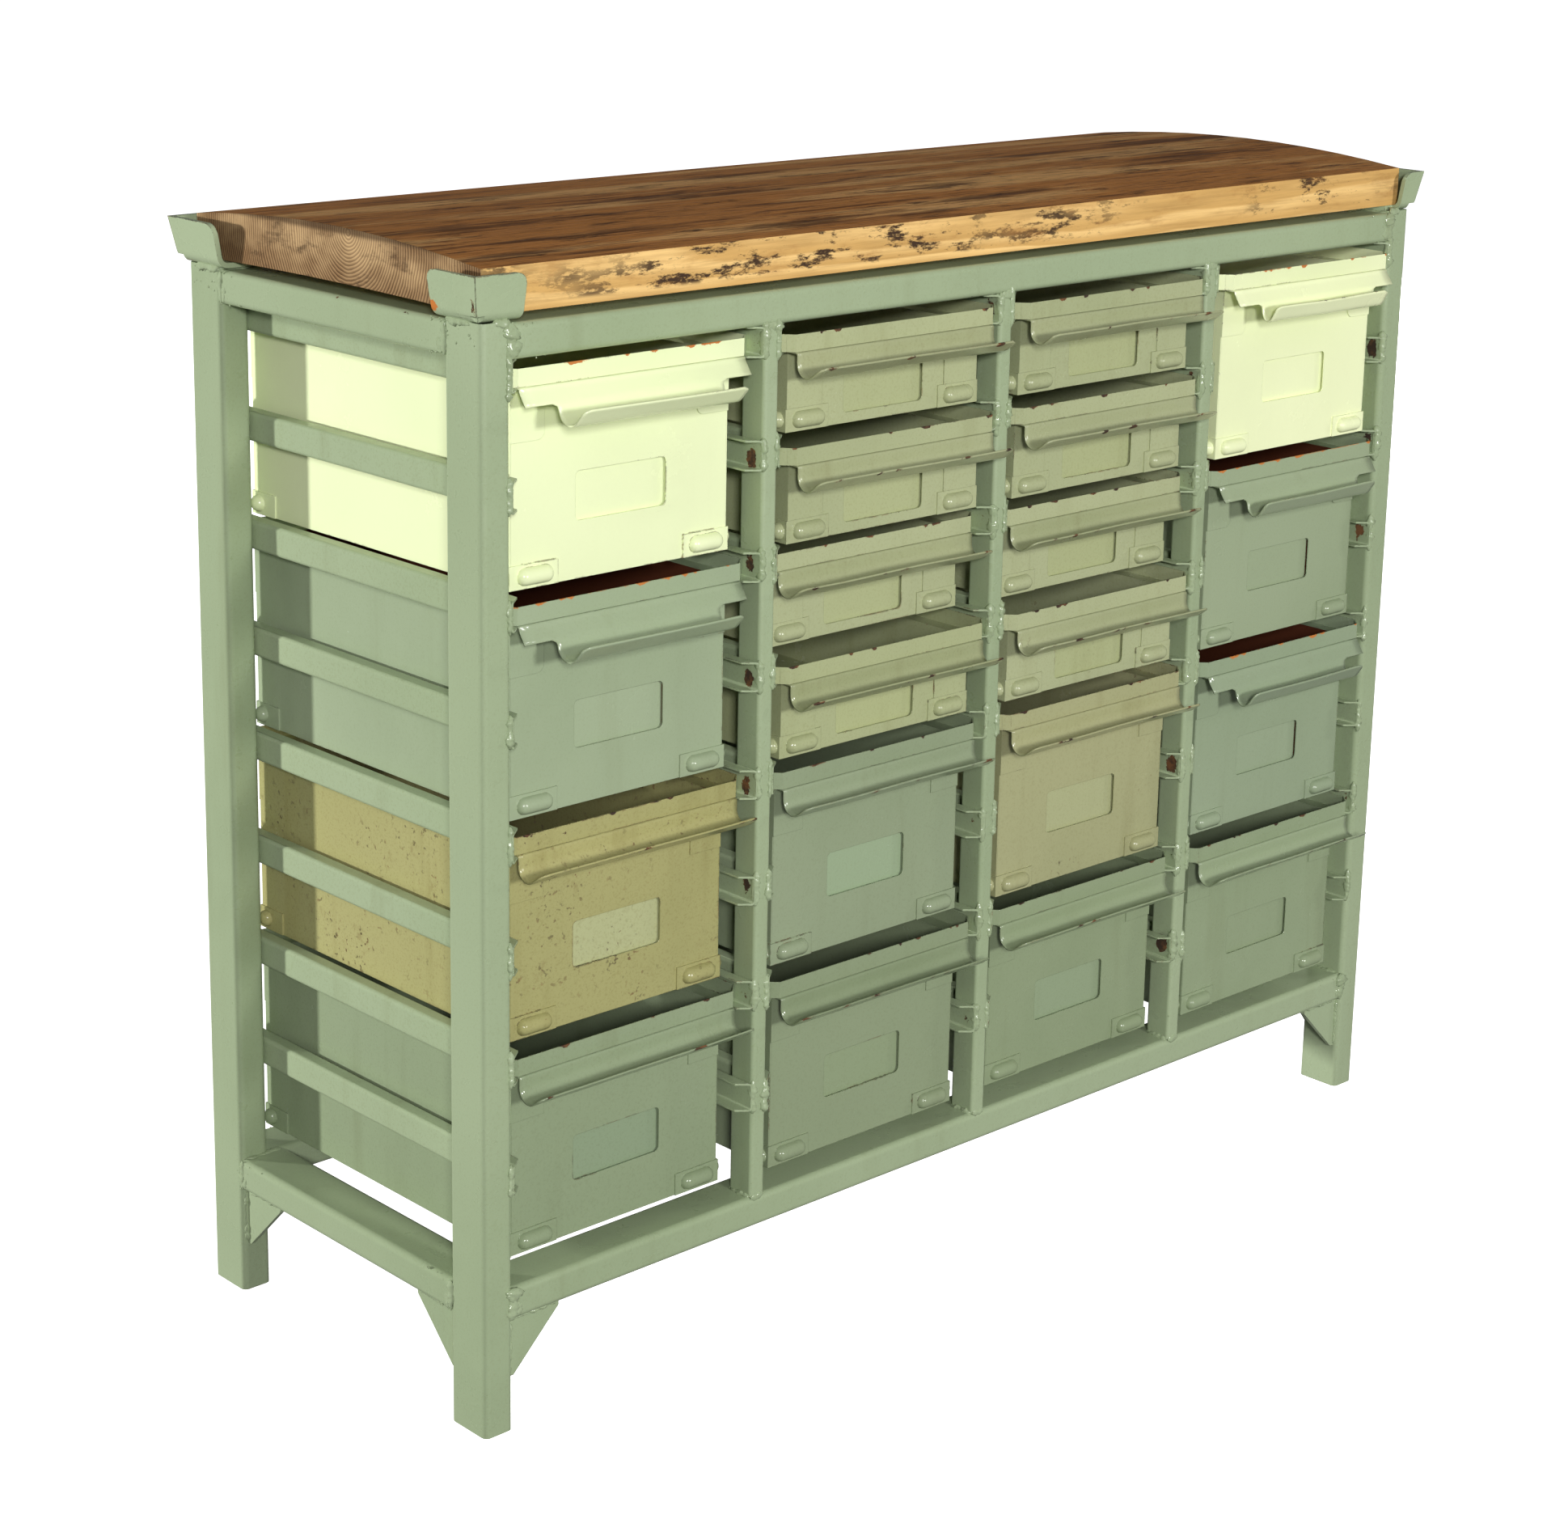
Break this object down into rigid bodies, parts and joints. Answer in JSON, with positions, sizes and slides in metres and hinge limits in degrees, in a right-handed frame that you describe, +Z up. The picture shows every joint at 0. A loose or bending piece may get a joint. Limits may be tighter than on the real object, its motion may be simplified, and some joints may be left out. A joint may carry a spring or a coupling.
{
  "type": "welded steel bin rack",
  "caption": "Welded steel workshop rack with rows of open sheet-steel bins that slide in C-channel runners, label windows and pulls on the bins, and a thick worn timber top.",
  "frame": {"origin": "on the floor, at the middle of the part's own box seen from above", "axes": "+X to the right as seen from the front, +Y to the back, +Z up; the bins pull out along -Y"},
  "size_m": [1.311, 0.488, 1.088],
  "materials": {
    "frame_paint": "worn satin grey-green paint over steel",
    "guard_paint": "worn satin green paint, chipped to rust at the edges",
    "oak": "old oiled timber, stained and worn",
    "bin_pale": "chalky pale yellow-green paint with rust chips",
    "bin_sage": "worn satin sage-green paint",
    "bin_beige": "aged beige paint with rust speckles",
    "bin_bluish": "worn satin blue-green paint",
    "bin_grey": "worn grey-beige green paint with rusty edges"
  },
  "bodies": {
    "rack": {"post_front_left": "frame_paint", "post_front_right": "frame_paint", "post_rear_left": "frame_paint", "post_rear_right": "frame_paint", "rail_top_front": "frame_paint", "rail_top_rear": "frame_paint", "rails_top_side": "frame_paint", "rail_bottom_front": "frame_paint", "rail_bottom_rear": "frame_paint", "rails_bottom_side": "frame_paint", "dividers_front": "frame_paint", "dividers_rear": "frame_paint", "runners_column_1": "frame_paint", "runners_column_2": "frame_paint", "runners_column_3": "frame_paint", "runners_column_4": "frame_paint", "gussets": "frame_paint", "corner_guards": "guard_paint", "worktop": "oak"},
    "drawer_1_1": {"bin_1_1": "bin_pale", "pull_1_1": "bin_pale"},
    "drawer_1_2": {"bin_1_2": "bin_sage", "pull_1_2": "bin_sage"},
    "drawer_1_3": {"bin_1_3": "bin_beige", "pull_1_3": "bin_beige"},
    "drawer_1_4": {"bin_1_4": "bin_sage", "pull_1_4": "bin_sage"},
    "drawer_2_1": {"bin_2_1": "bin_grey", "pull_2_1": "bin_grey"},
    "drawer_2_2": {"bin_2_2": "bin_grey", "pull_2_2": "bin_grey"},
    "drawer_2_3": {"bin_2_3": "bin_grey", "pull_2_3": "bin_grey"},
    "drawer_2_4": {"bin_2_4": "bin_grey", "pull_2_4": "bin_grey"},
    "drawer_2_5": {"bin_2_5": "bin_bluish", "pull_2_5": "bin_bluish"},
    "drawer_2_6": {"bin_2_6": "bin_sage", "pull_2_6": "bin_sage"},
    "drawer_3_1": {"bin_3_1": "bin_grey", "pull_3_1": "bin_grey"},
    "drawer_3_2": {"bin_3_2": "bin_grey", "pull_3_2": "bin_grey"},
    "drawer_3_3": {"bin_3_3": "bin_grey", "pull_3_3": "bin_grey"},
    "drawer_3_4": {"bin_3_4": "bin_grey", "pull_3_4": "bin_grey"},
    "drawer_3_5": {"bin_3_5": "bin_beige", "pull_3_5": "bin_beige"},
    "drawer_3_6": {"bin_3_6": "bin_bluish", "pull_3_6": "bin_bluish"},
    "drawer_4_1": {"bin_4_1": "bin_pale", "pull_4_1": "bin_pale"},
    "drawer_4_2": {"bin_4_2": "bin_sage", "pull_4_2": "bin_sage"},
    "drawer_4_3": {"bin_4_3": "bin_sage", "pull_4_3": "bin_sage"},
    "drawer_4_4": {"bin_4_4": "bin_sage", "pull_4_4": "bin_sage"}
  },
  "joints": [
    {"name": "slide_1_1", "type": "slide", "parent": "rack", "child": "drawer_1_1", "axis": [0, -1, 0], "range_m": [-0.004, 0.316]},
    {"name": "slide_1_2", "type": "slide", "parent": "rack", "child": "drawer_1_2", "axis": [0, -1, 0], "range_m": [-0.003, 0.317]},
    {"name": "slide_1_3", "type": "slide", "parent": "rack", "child": "drawer_1_3", "axis": [0, -1, 0], "range_m": [-0.002, 0.318]},
    {"name": "slide_1_4", "type": "slide", "parent": "rack", "child": "drawer_1_4", "axis": [0, -1, 0], "range_m": [-0.003, 0.317]},
    {"name": "slide_2_1", "type": "slide", "parent": "rack", "child": "drawer_2_1", "axis": [0, -1, 0], "range_m": [-0.02, 0.3]},
    {"name": "slide_2_2", "type": "slide", "parent": "rack", "child": "drawer_2_2", "axis": [0, -1, 0], "range_m": [-0.024, 0.296]},
    {"name": "slide_2_3", "type": "slide", "parent": "rack", "child": "drawer_2_3", "axis": [0, -1, 0], "range_m": [0, 0.32]},
    {"name": "slide_2_4", "type": "slide", "parent": "rack", "child": "drawer_2_4", "axis": [0, -1, 0], "range_m": [-0.02, 0.3]},
    {"name": "slide_2_5", "type": "slide", "parent": "rack", "child": "drawer_2_5", "axis": [0, -1, 0], "range_m": [-0.013, 0.307]},
    {"name": "slide_2_6", "type": "slide", "parent": "rack", "child": "drawer_2_6", "axis": [0, -1, 0], "range_m": [-0.015, 0.305]},
    {"name": "slide_3_1", "type": "slide", "parent": "rack", "child": "drawer_3_1", "axis": [0, -1, 0], "range_m": [-0.023, 0.297]},
    {"name": "slide_3_2", "type": "slide", "parent": "rack", "child": "drawer_3_2", "axis": [0, -1, 0], "range_m": [-0.02, 0.3]},
    {"name": "slide_3_3", "type": "slide", "parent": "rack", "child": "drawer_3_3", "axis": [0, -1, 0], "range_m": [-0.006, 0.314]},
    {"name": "slide_3_4", "type": "slide", "parent": "rack", "child": "drawer_3_4", "axis": [0, -1, 0], "range_m": [-0.021, 0.299]},
    {"name": "slide_3_5", "type": "slide", "parent": "rack", "child": "drawer_3_5", "axis": [0, -1, 0], "range_m": [-0.018, 0.302]},
    {"name": "slide_3_6", "type": "slide", "parent": "rack", "child": "drawer_3_6", "axis": [0, -1, 0], "range_m": [-0.012, 0.308]},
    {"name": "slide_4_1", "type": "slide", "parent": "rack", "child": "drawer_4_1", "axis": [0, -1, 0], "range_m": [-0.024, 0.296]},
    {"name": "slide_4_2", "type": "slide", "parent": "rack", "child": "drawer_4_2", "axis": [0, -1, 0], "range_m": [-0.018, 0.302]},
    {"name": "slide_4_3", "type": "slide", "parent": "rack", "child": "drawer_4_3", "axis": [0, -1, 0], "range_m": [-0.017, 0.303]},
    {"name": "slide_4_4", "type": "slide", "parent": "rack", "child": "drawer_4_4", "axis": [0, -1, 0], "range_m": [-0.017, 0.303]}
  ]
}
